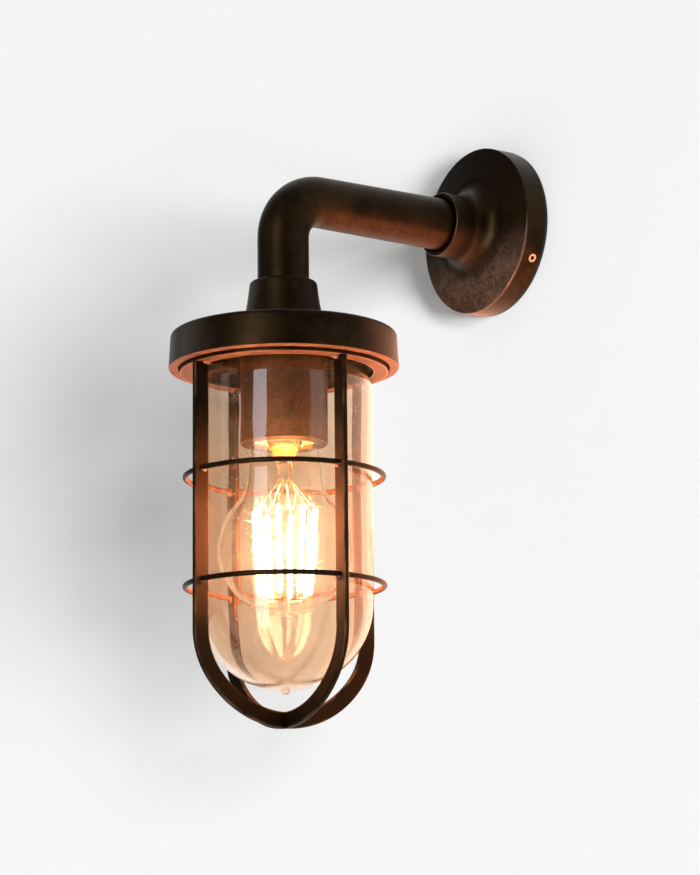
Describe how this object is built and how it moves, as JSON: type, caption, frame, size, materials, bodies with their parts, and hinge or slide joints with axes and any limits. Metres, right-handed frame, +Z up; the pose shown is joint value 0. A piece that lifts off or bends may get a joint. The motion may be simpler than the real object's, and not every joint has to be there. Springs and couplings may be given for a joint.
{
  "type": "outdoor wall light",
  "caption": "Caged well-glass wall light on a bent arm: round plate, shallow cap, clear glass with its bulb, unscrewing wire guard.",
  "frame": {"origin": "on the wall, on the axis of the arm and midway between the two fixing holes", "axes": "+Z up, +Y into the wall, the light stands out along -Y with its lamp axis upright at y = -0.1242 m"},
  "size_m": [0.105, 0.1767, 0.2856],
  "materials": {
    "bronze_patina": "weathered dark brown bronze patina, rubbed bright at the edges",
    "bare_brass": "bare brass, dulled",
    "braze_copper": "bright coppery braze",
    "gasket_foam": "closed foam, matt",
    "seal_rubber": "matt rubber",
    "zinc_steel": "zinc plated",
    "terminal_plastic": "off-white, satin",
    "porcelain": "white glazed porcelain",
    "brown_insulation": "brown sleeve",
    "blue_insulation": "blue sleeve",
    "green_yellow_insulation": "green and yellow sleeve",
    "clear_glass": "clear blown glass with faint seeds",
    "bulb_clear_glass": "clear thin glass",
    "black_glass": "opaque black insulating glass",
    "solder": "dull solder",
    "bulb_cap_metal": "nickel plated, satin",
    "lit_filament": "coated light strips, lit warm white",
    "support_wire": "thin bare wire"
  },
  "bodies": {
    "fixture": {"wall_gasket": "gasket_foam", "wall_bracket": "zinc_steel", "grub_screws": "bare_brass", "earth_screw": "bare_brass", "terminal_block": "terminal_plastic", "terminal_screws": "zinc_steel", "wall_plate": "bronze_patina", "arm_locknut": "bare_brass", "arm_tube": "bronze_patina", "cap": "bronze_patina", "cap_locknut": "bare_brass", "lampholder_skirt": "bronze_patina", "lampholder_body": "porcelain", "screw_shell": "bare_brass", "centre_contact": "bare_brass", "holder_screws": "bare_brass", "wire_live": "brown_insulation", "wire_neutral": "blue_insulation", "wire_earth": "green_yellow_insulation"},
    "seal": {"glass_seal": "seal_rubber"},
    "glass": {"well_glass_neck": "clear_glass", "well_glass_barrel": "clear_glass", "well_glass_dome": "clear_glass"},
    "guard": {"guard_ring": "bronze_patina", "guard_hoop_front": "bronze_patina", "guard_hoop_side": "bronze_patina", "guard_wire_upper": "bronze_patina", "guard_wire_lower": "bronze_patina", "wire_brazes": "braze_copper", "bar_brazes": "braze_copper"},
    "bulb_contact": {"bulb_tip": "solder"},
    "bulb": {"bulb_insulator": "black_glass", "bulb_cap": "bulb_cap_metal", "bulb_glass": "bulb_clear_glass", "bulb_stem": "bulb_clear_glass", "bulb_filaments": "lit_filament", "filament_supports": "support_wire"}
  },
  "joints": [
    {"name": "guard_lift_off", "type": "slide", "parent": "fixture", "child": "seal", "axis": [0, 0, -1], "range_m": [0, 0.2]},
    {"name": "glass_advance", "type": "slide", "parent": "seal", "child": "glass", "axis": [0, 0, -1], "range_m": [0, 0.0101]},
    {"name": "guard_unscrew", "type": "hinge", "parent": "glass", "child": "guard", "pos_m": [0, -0.1242, -0.083], "axis": [0, 0, 1], "range_deg": [0, 1800]},
    {"name": "bulb_advance", "type": "slide", "parent": "fixture", "child": "bulb_contact", "axis": [0, 0, -1], "range_m": [0, 0.0165]},
    {"name": "bulb_unscrew", "type": "hinge", "parent": "bulb_contact", "child": "bulb", "pos_m": [0, -0.1242, -0.1], "axis": [0, 0, 1], "range_deg": [0, 1620]}
  ],
  "couplings": [
    {"joint": "glass_advance", "follows": "guard_unscrew", "m_per_rad": 0.00031831},
    {"joint": "bulb_advance", "follows": "bulb_unscrew", "m_per_rad": 0.00057773}
  ]
}
